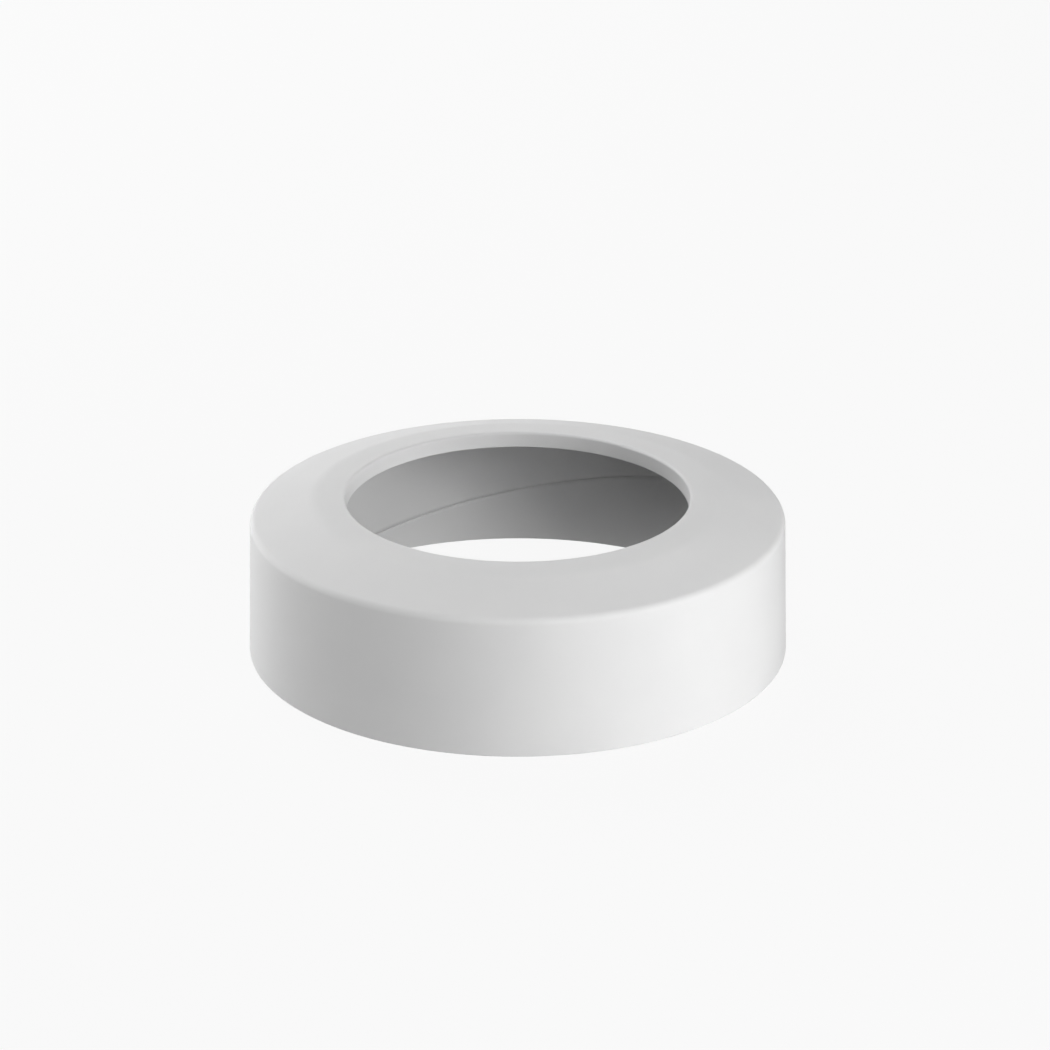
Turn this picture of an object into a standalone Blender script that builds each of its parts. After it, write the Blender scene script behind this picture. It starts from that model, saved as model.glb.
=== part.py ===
"""Pipe rosette: the round cover plate that hides the joint where a toilet's
soil pipe goes through a wall or floor.

One injection moulding: a low, slightly drafted outer skirt, a rounded
shoulder, a shallow cone rising to an almost flat ring, and a short collar
turned down into the cap round the pipe hole.  It is hollow and open below.

Units are metres.  +Z runs along the pipe, away from the wall or floor; the
rim of the skirt stands on z = 0 and the pipe axis is the Z axis.
"""
import math

import bmesh
import bpy
from mathutils import Vector

# --- driving dimensions -----------------------------------------------------
OUTER_D = 0.1753          # across the skirt's rim
HOLE_D = 0.1105           # pipe hole at its narrow lower edge, for a 110 mm soil pipe
WALL = 0.0016             # moulded wall, the same all over
SKIRT_DRAFT = 0.0310      # the skirt leans in by this much for each metre up
SHOULDER_Z = 0.04475      # height at which the skirt's and the cone's lines cross
CONE_SLOPE = math.radians(16.45)
RING_D = 0.1321           # where the cone's and the ring's lines cross
RING_SLOPE = math.radians(3.6)
SHOULDER_R = 0.0025       # outer radius of the shoulder
RING_BLEND_R = 0.0160     # outer radius of the blend from cone to ring
MOUTH_R = 0.0009          # rounding at the top of the pipe hole
COLLAR_LENGTH = 0.0052    # from the top of the hole to the collar's lower edge
COLLAR_DRAFT = math.tan(math.radians(4.0))   # the hole opens by this for each metre up
COLLAR_ROOT_R = 0.0008    # fillet between the collar's outside and the ring
COLLAR_TIP_R = 0.00015    # rounding of the collar's lower edge
RIM_TIP_R = 0.00015       # hardly broken outer and inner corners of the rim

TURNS = 96                # flats round the axis

NODE = "pipe_rosette"


# --- section ----------------------------------------------------------------
def line_at_slope(point, slope, r):
    """Height at radius r of a line through point that falls outwards."""
    return point[1] + (point[0] - r) * math.tan(slope)


def fillet(corner, before, after, radius, count):
    """Arc of the given radius that rounds the corner between two legs.

    before and after are points on the two legs; the arc comes back as a list
    of (r, z) points in the same direction of travel.
    """
    c = Vector(corner)
    u = (Vector(before) - c).normalized()
    v = (Vector(after) - c).normalized()
    half = u.angle(v) / 2.0
    setback = radius / math.tan(half)
    centre = c + (u + v).normalized() * (radius / math.sin(half))
    start = c + u * setback - centre
    end = c + v * setback - centre
    sweep = start.angle(end)
    turn = math.copysign(1.0, start.x * end.y - start.y * end.x)
    points = []
    for i in range(count + 1):
        a = turn * sweep * i / count
        points.append((centre.x + start.x * math.cos(a) - start.y * math.sin(a),
                       centre.y + start.x * math.sin(a) + start.y * math.cos(a)))
    return points


def section():
    """Closed (r, z) outline, running down the outer side first.

    It starts at the pipe hole, crosses the top outwards, goes down the skirt,
    over the rim, up the inside and out along the underside to the collar.
    """
    r_rim = OUTER_D / 2.0
    r_hole = HOLE_D / 2.0
    r_ring = RING_D / 2.0

    # sharp corners of the outer side
    shoulder = (r_rim - SKIRT_DRAFT * SHOULDER_Z, SHOULDER_Z)
    ring = (r_ring, line_at_slope(shoulder, CONE_SLOPE, r_ring))
    r_mouth = r_hole + COLLAR_DRAFT * COLLAR_LENGTH
    mouth = (r_mouth, line_at_slope(ring, RING_SLOPE, r_mouth))
    tip_in = (r_hole, mouth[1] - COLLAR_LENGTH)
    rim_out = (r_rim, 0.0)

    # the same corners, one wall thickness inside
    r_rim_in = r_rim - WALL
    drop_cone = WALL / math.cos(CONE_SLOPE)
    drop_ring = WALL / math.cos(RING_SLOPE)

    def skirt_in(z):
        return r_rim_in - SKIRT_DRAFT * z

    def cone_in(r):
        return line_at_slope(shoulder, CONE_SLOPE, r) - drop_cone

    def ring_in(r):
        return line_at_slope(ring, RING_SLOPE, r) - drop_ring

    # skirt meets cone inside: r = r_rim_in - draft z and z = cone_in(r)
    k = math.tan(CONE_SLOPE)
    z = (shoulder[1] - drop_cone + (shoulder[0] - r_rim_in) * k) / (1.0 - SKIRT_DRAFT * k)
    shoulder_in = (skirt_in(z), z)
    # cone meets ring inside
    r = ((shoulder[1] - drop_cone + shoulder[0] * k)
         - (ring[1] - drop_ring + ring[0] * math.tan(RING_SLOPE))) / (k - math.tan(RING_SLOPE))
    ring_corner_in = (r, cone_in(r))
    # collar's outside, parallel to its inside, meets the ring's underside
    tip_out = (r_hole + WALL * math.hypot(1.0, COLLAR_DRAFT), tip_in[1])
    r = ((tip_out[0] + COLLAR_DRAFT * (ring_in(0.0) - tip_out[1]))
         / (1.0 + COLLAR_DRAFT * math.tan(RING_SLOPE)))
    root = (r, ring_in(r))
    rim_in = (r_rim_in, 0.0)

    corners = [
        (tip_in, COLLAR_TIP_R, 2),
        (mouth, MOUTH_R, 4),
        (ring, RING_BLEND_R, 4),
        (shoulder, SHOULDER_R, 7),
        (rim_out, RIM_TIP_R, 1),
        (rim_in, RIM_TIP_R, 1),
        (shoulder_in, SHOULDER_R - WALL, 4),
        (ring_corner_in, RING_BLEND_R - WALL, 3),
        (root, COLLAR_ROOT_R, 3),
        (tip_out, COLLAR_TIP_R, 2),
    ]
    outline = []
    for i, (corner, radius, count) in enumerate(corners):
        before = corners[i - 1][0]
        after = corners[(i + 1) % len(corners)][0]
        outline.extend(fillet(corner, before, after, radius, count))
    return outline


# --- building ---------------------------------------------------------------
def clear_scene():
    for obj in list(bpy.data.objects):
        bpy.data.objects.remove(obj, do_unlink=True)


def moulded_plastic():
    """White polypropylene with a matt, finely grained skin."""
    mat = bpy.data.materials.new("moulded_plastic")
    mat.use_nodes = True
    shader = mat.node_tree.nodes["Principled BSDF"]
    shader.inputs["Base Color"].default_value = (0.74, 0.74, 0.74, 1.0)
    shader.inputs["Roughness"].default_value = 0.60
    shader.inputs["Metallic"].default_value = 0.0
    shader.inputs["IOR"].default_value = 1.49
    return mat


def turned_part(name, outline, turns):
    """Turn a closed outline once round the Z axis into one closed body."""
    bm = bmesh.new()
    ring_verts = [bm.verts.new((r, 0.0, z)) for r, z in outline]
    ring_edges = [bm.edges.new((ring_verts[i], ring_verts[(i + 1) % len(ring_verts)]))
                  for i in range(len(ring_verts))]
    bmesh.ops.spin(bm, geom=ring_verts + ring_edges, cent=(0.0, 0.0, 0.0),
                   axis=(0.0, 0.0, 1.0), dvec=(0.0, 0.0, 0.0),
                   angle=2.0 * math.pi, steps=turns, use_merge=True,
                   use_duplicate=False)
    bmesh.ops.remove_doubles(bm, verts=bm.verts, dist=0.00001)
    bmesh.ops.recalc_face_normals(bm, faces=bm.faces)
    mesh = bpy.data.meshes.new(name)
    bm.to_mesh(mesh)
    bm.free()
    mesh.shade_smooth()
    mesh.set_sharp_from_angle(angle=math.radians(35.0))
    obj = bpy.data.objects.new(name, mesh)
    bpy.context.scene.collection.objects.link(obj)
    return obj


def main():
    clear_scene()
    rosette = turned_part(NODE, section(), TURNS)
    rosette.data.materials.append(moulded_plastic())


main()
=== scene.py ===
"""Visual model of the toilet pipe rosette, on a pale floor in soft light.

Metres, +Z up, the pipe's axis on Z and the rim of the skirt on z = 0.
"""

import math

import bpy
import numpy as np
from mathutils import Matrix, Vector


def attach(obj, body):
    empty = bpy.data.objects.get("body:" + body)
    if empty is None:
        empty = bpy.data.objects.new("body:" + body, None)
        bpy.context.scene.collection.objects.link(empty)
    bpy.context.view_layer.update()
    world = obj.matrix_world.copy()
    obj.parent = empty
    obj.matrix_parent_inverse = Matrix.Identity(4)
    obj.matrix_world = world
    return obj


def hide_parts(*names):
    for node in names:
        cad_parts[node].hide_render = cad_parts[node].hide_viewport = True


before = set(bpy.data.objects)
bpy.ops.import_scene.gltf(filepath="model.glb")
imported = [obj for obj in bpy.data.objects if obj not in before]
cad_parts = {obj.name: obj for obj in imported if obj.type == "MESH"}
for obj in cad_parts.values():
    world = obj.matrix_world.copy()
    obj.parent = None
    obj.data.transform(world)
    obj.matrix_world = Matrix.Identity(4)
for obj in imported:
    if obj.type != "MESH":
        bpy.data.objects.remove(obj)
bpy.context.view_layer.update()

# --- dimensions of the moulding, as in the CAD model -------------------------
OUTER_D = 0.1753
HOLE_D = 0.1105
WALL = 0.0016
SKIRT_DRAFT = 0.0310
SHOULDER_Z = 0.04475
CONE_SLOPE = math.radians(16.45)
RING_D = 0.1321
RING_SLOPE = math.radians(3.6)
SHOULDER_R = 0.0025
RING_BLEND_R = 0.0160
MOUTH_R = 0.0009
COLLAR_LENGTH = 0.0052
COLLAR_DRAFT = math.tan(math.radians(4.0))
COLLAR_ROOT_R = 0.0008
COLLAR_TIP_R = 0.00015
RIM_TIP_R = 0.00015

TURNS = 480                    # steps round the axis

# fine slanted witness line inside the skirt: a plane cuts the wall there
WITNESS_Z = 0.01878            # its height on the axis
WITNESS_RISE = 0.2213          # rise for each metre towards +X
WITNESS_WIDTH = 0.00042
WITNESS_DEPTH = 0.00047
WITNESS_LOWEST = 0.0012        # where it has died out above the rim
WITNESS_RUNOUT = 0.0014


# --- section ----------------------------------------------------------------
def line_at_slope(point, slope, r):
    """Height at radius r of a line through point that falls outwards."""
    return point[1] + (point[0] - r) * math.tan(slope)


def fillet(corner, before, after, radius, count):
    """Arc of the given radius that rounds the corner between two legs."""
    c = Vector(corner)
    u = (Vector(before) - c).normalized()
    v = (Vector(after) - c).normalized()
    half = u.angle(v) / 2.0
    setback = radius / math.tan(half)
    centre = c + (u + v).normalized() * (radius / math.sin(half))
    start = c + u * setback - centre
    end = c + v * setback - centre
    sweep = start.angle(end)
    turn = math.copysign(1.0, start.x * end.y - start.y * end.x)
    points = []
    for i in range(count + 1):
        a = turn * sweep * i / count
        points.append((centre.x + start.x * math.cos(a) - start.y * math.sin(a),
                       centre.y + start.x * math.sin(a) + start.y * math.cos(a)))
    return points


def graded(a, b, count, hold):
    """Points strictly between a and b, with one close to each end."""
    a, b = np.array(a), np.array(b)
    length = float(np.linalg.norm(b - a))
    near = min(hold, length / 4.0) / length
    t = np.concatenate(([near], np.linspace(near, 1.0 - near, count)[1:-1], [1.0 - near]))
    return [tuple(a + (b - a) * k) for k in t]


def section():
    """The outline in two runs, of (r, z) points.

    The first goes from the collar's tip over the top and down the skirt to the
    inner corner of the rim.  The second goes from the inside of the shoulder
    back along the underside to the collar's tip.  Between them lies the plain
    inner wall of the skirt, which carries the witness line.
    """
    r_rim = OUTER_D / 2.0
    r_hole = HOLE_D / 2.0
    r_ring = RING_D / 2.0
    shoulder = (r_rim - SKIRT_DRAFT * SHOULDER_Z, SHOULDER_Z)
    ring = (r_ring, line_at_slope(shoulder, CONE_SLOPE, r_ring))
    r_mouth = r_hole + COLLAR_DRAFT * COLLAR_LENGTH
    mouth = (r_mouth, line_at_slope(ring, RING_SLOPE, r_mouth))
    tip_in = (r_hole, mouth[1] - COLLAR_LENGTH)
    rim_out = (r_rim, 0.0)
    r_rim_in = r_rim - WALL
    drop_cone = WALL / math.cos(CONE_SLOPE)
    drop_ring = WALL / math.cos(RING_SLOPE)
    k = math.tan(CONE_SLOPE)
    kr = math.tan(RING_SLOPE)
    z = (shoulder[1] - drop_cone + (shoulder[0] - r_rim_in) * k) / (1.0 - SKIRT_DRAFT * k)
    shoulder_in = (r_rim_in - SKIRT_DRAFT * z, z)
    r = ((shoulder[1] - drop_cone + shoulder[0] * k) - (ring[1] - drop_ring + ring[0] * kr)) / (k - kr)
    ring_in = (r, shoulder[1] - drop_cone + (shoulder[0] - r) * k)
    tip_out = (r_hole + WALL * math.hypot(1.0, COLLAR_DRAFT), tip_in[1])
    r = ((tip_out[0] + COLLAR_DRAFT * (ring[1] - drop_ring + ring[0] * kr - tip_out[1]))
         / (1.0 + COLLAR_DRAFT * kr))
    root = (r, ring[1] - drop_ring + (ring[0] - r) * kr)
    rim_in = (r_rim_in, 0.0)

    corners = [
        (tip_in, COLLAR_TIP_R, 5, 4),
        (mouth, MOUTH_R, 8, 8),
        (ring, RING_BLEND_R, 14, 16),
        (shoulder, SHOULDER_R, 18, 22),
        (rim_out, RIM_TIP_R, 4, 3),
        (rim_in, RIM_TIP_R, 4, 0),
        (shoulder_in, SHOULDER_R - WALL, 10, 14),
        (ring_in, RING_BLEND_R - WALL, 10, 10),
        (root, COLLAR_ROOT_R, 7, 5),
        (tip_out, COLLAR_TIP_R, 5, 3),
    ]
    runs = [[], []]
    for i, (corner, radius, count, between) in enumerate(corners):
        run = runs[0] if i < 6 else runs[1]
        nxt = corners[(i + 1) % len(corners)]
        arc = fillet(corner, corners[i - 1][0], nxt[0], radius, count)
        run.extend(arc)
        if between:
            following = fillet(nxt[0], corner, corners[(i + 2) % len(corners)][0], nxt[1], nxt[2])
            run.extend(graded(arc[-1], following[0], between, 0.00025))
    return runs


def inner_wall(low, high, angle):
    """Points up the inside of the skirt at one angle, with the fine groove."""
    r0, z0 = low
    r1, z1 = high

    def radius(z):
        return r0 + (r1 - r0) * (z - z0) / (z1 - z0)

    mid = WITNESS_Z
    for _ in range(4):
        mid = WITNESS_Z + WITNESS_RISE * radius(mid) * math.cos(angle)
    # the line dies out before it reaches the rim
    fade = min(1.0, max(0.0, (mid - WITNESS_LOWEST) / WITNESS_RUNOUT))
    depth = WITNESS_DEPTH * fade * fade * (3.0 - 2.0 * fade)
    mid = max(mid, WITNESS_LOWEST)
    half = WITNESS_WIDTH / 2.0
    points = []
    edge = mid - half
    for t in (0.06, 0.3, 0.55, 0.78, 0.94):
        z = z0 + (edge - z0) * t
        points.append((radius(z), z))
    for s, d in ((-1.0, 0.0), (-0.72, 0.35), (-0.45, 0.86), (0.0, 1.0), (0.45, 0.86), (0.72, 0.35), (1.0, 0.0)):
        z = mid + half * s
        points.append((radius(z) + depth * d, z))
    edge = mid + half
    for t in (0.04, 0.2, 0.4, 0.6, 0.8, 0.96):
        z = edge + (z1 - edge) * t
        points.append((radius(z), z))
    return points


def moulding(name):
    """The whole rosette as one closed mesh."""
    over, under = section()
    rows = []
    for j in range(TURNS):
        a = 2.0 * math.pi * j / TURNS
        rows.append(over + inner_wall(over[-1], under[0], a) + under)
    grid = np.array(rows)                                   # turns, points, (r, z)
    a = 2.0 * np.pi * np.arange(TURNS) / TURNS
    xyz = np.stack([grid[:, :, 0] * np.cos(a)[:, None],
                    grid[:, :, 0] * np.sin(a)[:, None],
                    grid[:, :, 1]], axis=2)
    count = xyz.shape[1]
    j, i = np.meshgrid(np.arange(TURNS), np.arange(count), indexing="ij")
    jn, inn = (j + 1) % TURNS, (i + 1) % count
    quads = np.stack([j * count + i, j * count + inn, jn * count + inn, jn * count + i], axis=2)
    mesh = bpy.data.meshes.new(name)
    mesh.from_pydata(xyz.reshape(-1, 3).tolist(), [], quads.reshape(-1, 4).tolist())
    # distance along the section and round it, so that the mesh carries its own layout
    step = np.linalg.norm(np.diff(grid[0], axis=0, append=grid[0, :1]), axis=1)
    along = np.concatenate(([0.0], np.cumsum(step)))
    uv = mesh.uv_layers.new(name="UVMap")
    corner = np.zeros((TURNS, count, 4, 2))
    corner[..., 0, 0] = corner[..., 1, 0] = (j / TURNS)
    corner[..., 2, 0] = corner[..., 3, 0] = ((j + 1) / TURNS)
    corner[..., 0, 1] = corner[..., 3, 1] = (along[:-1] / along[-1])[None, :]
    corner[..., 1, 1] = corner[..., 2, 1] = (along[1:] / along[-1])[None, :]
    uv.data.foreach_set("uv", corner.reshape(-1))
    mesh.validate()
    mesh.update()
    mesh.shade_smooth()
    obj = bpy.data.objects.new(name, mesh)
    bpy.context.scene.collection.objects.link(obj)
    return obj


# --- materials --------------------------------------------------------------
class Nodes:
    """Short calls for building a node tree."""

    def __init__(self, mat):
        mat.use_nodes = True
        self.tree = mat.node_tree
        self.tree.nodes.clear()

    def add(self, kind, **values):
        node = self.tree.nodes.new(kind)
        for key, value in values.items():
            setattr(node, key, value)
        return node

    def link(self, a, b):
        self.tree.links.new(a, b)

    def noise(self, coords, scale, detail=3.0, rough=0.5):
        n = self.add("ShaderNodeTexNoise")
        n.inputs["Scale"].default_value = scale
        n.inputs["Detail"].default_value = detail
        n.inputs["Roughness"].default_value = rough
        self.link(coords, n.inputs["Vector"])
        return n.outputs["Fac"]

    def span(self, value, low, high, from_low=0.3, from_high=0.7):
        n = self.add("ShaderNodeMapRange")
        n.inputs["From Min"].default_value = from_low
        n.inputs["From Max"].default_value = from_high
        n.inputs["To Min"].default_value = low
        n.inputs["To Max"].default_value = high
        self.link(value, n.inputs["Value"])
        return n.outputs["Result"]

    def bump(self, height, distance, strength, normal=None):
        n = self.add("ShaderNodeBump")
        n.inputs["Strength"].default_value = strength
        n.inputs["Distance"].default_value = distance
        self.link(height, n.inputs["Height"])
        if normal is not None:
            self.link(normal, n.inputs["Normal"])
        return n.outputs["Normal"]


def plastic_material():
    mat = bpy.data.materials.new("moulded_plastic_fine")
    n = Nodes(mat)
    shader = n.add("ShaderNodeBsdfPrincipled")
    out = n.add("ShaderNodeOutputMaterial")
    n.link(shader.outputs["BSDF"], out.inputs["Surface"])
    coords = n.add("ShaderNodeTexCoord").outputs["Object"]

    broad = n.noise(coords, 38.0, 2.0)        # slow drift of the melt, 25 mm
    grain = n.noise(coords, 1500.0, 2.0)      # tool surface, 0.6 mm

    mix = n.add("ShaderNodeMix", data_type="RGBA")
    n.link(n.span(broad, 0.0, 1.0), mix.inputs["Factor"])
    mix.inputs["A"].default_value = (0.730, 0.730, 0.732, 1.0)
    mix.inputs["B"].default_value = (0.750, 0.750, 0.750, 1.0)
    n.link(mix.outputs["Result"], shader.inputs["Base Color"])

    n.link(n.span(broad, 0.57, 0.63), shader.inputs["Roughness"])
    n.link(n.bump(grain, 0.00001, 0.35), shader.inputs["Normal"])
    shader.inputs["IOR"].default_value = 1.49
    shader.inputs["Specular IOR Level"].default_value = 0.25
    return mat


# --- the object -------------------------------------------------------------
rosette = moulding("rosette_moulding")
rosette.data.materials.append(plastic_material())
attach(rosette, "root")
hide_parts("pipe_rosette")


# --- camera -----------------------------------------------------------------
def make_camera():
    """Long lens, 23 degrees above the rim's plane, aimed a little high."""
    rise = 0.40437
    reach = 1.1401
    pixel = reach / 3502.0                     # one of the frame's 1050 pixels, at the object
    centre = Vector((0.0, 0.0, 0.021925))
    back = Vector((0.0, -math.cos(rise), math.sin(rise)))
    up = Vector((0.0, math.sin(rise), math.cos(rise)))
    place = centre + back * reach
    aim = centre + Vector((1.0, 0.0, 0.0)) * (7.25 * pixel) + up * (52.50 * pixel)
    data = bpy.data.cameras.new("camera")
    data.lens = 120.07
    data.sensor_width = 36.0
    data.clip_start = 0.05
    data.clip_end = 50.0
    cam = bpy.data.objects.new("camera", data)
    cam.location = place
    cam.rotation_mode = "QUATERNION"
    cam.rotation_quaternion = (aim - place).to_track_quat("-Z", "Y")
    bpy.context.scene.collection.objects.link(cam)
    bpy.context.scene.camera = cam


make_camera()


# --- stage ------------------------------------------------------------------
FLOOR_GLOW = 0.923
FLOOR_ALBEDO = 0.03


def floor_material():
    """Pale table that is lit from within; its underside lets the view through."""
    mat = bpy.data.materials.new("pale_floor")
    n = Nodes(mat)
    out = n.add("ShaderNodeOutputMaterial")
    dull = n.add("ShaderNodeBsdfDiffuse")
    dull.inputs["Color"].default_value = (FLOOR_ALBEDO, FLOOR_ALBEDO, FLOOR_ALBEDO, 1.0)
    glow = n.add("ShaderNodeEmission")
    glow.inputs["Color"].default_value = (FLOOR_GLOW, FLOOR_GLOW, FLOOR_GLOW, 1.0)
    both = n.add("ShaderNodeAddShader")
    n.link(dull.outputs["BSDF"], both.inputs[0])
    n.link(glow.outputs["Emission"], both.inputs[1])
    clear = n.add("ShaderNodeBsdfTransparent")
    pick = n.add("ShaderNodeMixShader")
    n.link(n.add("ShaderNodeNewGeometry").outputs["Backfacing"], pick.inputs["Fac"])
    n.link(both.outputs["Shader"], pick.inputs[1])
    n.link(clear.outputs["BSDF"], pick.inputs[2])
    n.link(pick.outputs["Shader"], out.inputs["Surface"])
    return mat


def make_stage():
    """Round floor that sweeps up into a wall all round."""
    flat, bend, top, turns = 2.6, 1.2, 4.5, 96
    rings = [(0.0, 0.0), (0.3, 0.0), (1.0, 0.0), (flat, 0.0)]
    rings += [(flat + bend * math.sin(t), bend - bend * math.cos(t))
              for t in (math.pi / 2.0 * i / 16 for i in range(1, 17))]
    rings.append((flat + bend, top))
    verts = [(0.0, 0.0, 0.0)]
    faces = []
    for r, z in rings[1:]:
        verts += [(r * math.cos(2 * math.pi * j / turns), r * math.sin(2 * math.pi * j / turns), z)
                  for j in range(turns)]
    for j in range(turns):
        faces.append((0, 1 + j, 1 + (j + 1) % turns))
    for i in range(len(rings) - 2):
        a, b = 1 + i * turns, 1 + (i + 1) * turns
        faces += [(a + j, b + j, b + (j + 1) % turns, a + (j + 1) % turns) for j in range(turns)]
    mesh = bpy.data.meshes.new("floor")
    mesh.from_pydata(verts, [], faces)
    mesh.update()
    mesh.shade_smooth()
    floor = bpy.data.objects.new("floor", mesh)
    bpy.context.scene.collection.objects.link(floor)
    mesh.materials.append(floor_material())
    floor.visible_diffuse = False
    floor.visible_glossy = False
    floor.visible_shadow = False


make_stage()


# --- light ------------------------------------------------------------------
# name, azimuth and height in degrees, distance, width in metres, watts
LIGHTS = [
    ("soft_1", 0.0, -30.0, 1.2, 0.55, 2.26),
    ("soft_2", 135.0, -8.0, 1.2, 0.55, 1.86),
    ("soft_3", 157.5, -8.0, 1.2, 0.55, 3.74),
    ("soft_4", 225.0, -8.0, 1.2, 0.55, 0.72),
    ("soft_5", 247.5, -8.0, 1.2, 0.55, 1.11),
    ("soft_6", 292.5, -8.0, 1.2, 0.55, 1.18),
    ("soft_7", 315.0, -8.0, 1.2, 0.55, 1.03),
    ("soft_8", 90.0, 8.0, 1.2, 0.55, 1.60),
    ("soft_9", 157.5, 8.0, 1.2, 0.55, 1.66),
    ("soft_10", 180.0, 8.0, 1.2, 0.55, 4.20),
    ("soft_11", 292.5, 8.0, 1.2, 0.55, 2.41),
    ("soft_12", 315.0, 8.0, 1.2, 0.55, 0.62),
    ("soft_13", 337.5, 8.0, 1.2, 0.55, 4.90),
    ("soft_14", 90.0, 28.0, 1.2, 0.55, 0.42),
    ("soft_15", 112.5, 28.0, 1.2, 0.55, 1.56),
    ("soft_16", 135.0, 28.0, 1.2, 0.55, 2.68),
    ("soft_17", 292.5, 28.0, 1.2, 0.55, 0.63),
    ("soft_18", 315.0, 28.0, 1.2, 0.55, 3.18),
    ("soft_19", 120.0, 50.0, 1.2, 0.55, 4.55),
    ("soft_20", 300.0, 50.0, 1.2, 0.55, 2.95),
]
AMBIENT = 0.0


def make_lights():
    world = bpy.data.worlds.new("studio")
    bpy.context.scene.world = world
    world.use_nodes = True
    back = world.node_tree.nodes["Background"]
    back.inputs["Color"].default_value = (1.0, 1.0, 1.0, 1.0)
    back.inputs["Strength"].default_value = AMBIENT
    for name, azimuth, height, reach, side, watts in LIGHTS:
        a, e = math.radians(azimuth), math.radians(height)
        way = Vector((math.cos(a) * math.cos(e), math.sin(a) * math.cos(e), math.sin(e)))
        data = bpy.data.lights.new(name, "AREA")
        data.shape = "DISK"
        data.size = side
        data.energy = watts
        lamp = bpy.data.objects.new(name, data)
        lamp.location = Vector((0.0, 0.0, 0.025)) + way * reach
        lamp.rotation_mode = "QUATERNION"
        lamp.rotation_quaternion = (-way).to_track_quat("-Z", "Y")
        lamp.visible_camera = False
        bpy.context.scene.collection.objects.link(lamp)


make_lights()
bpy.context.scene.view_settings.view_transform = "Standard"
bpy.context.scene.view_settings.look = "None"
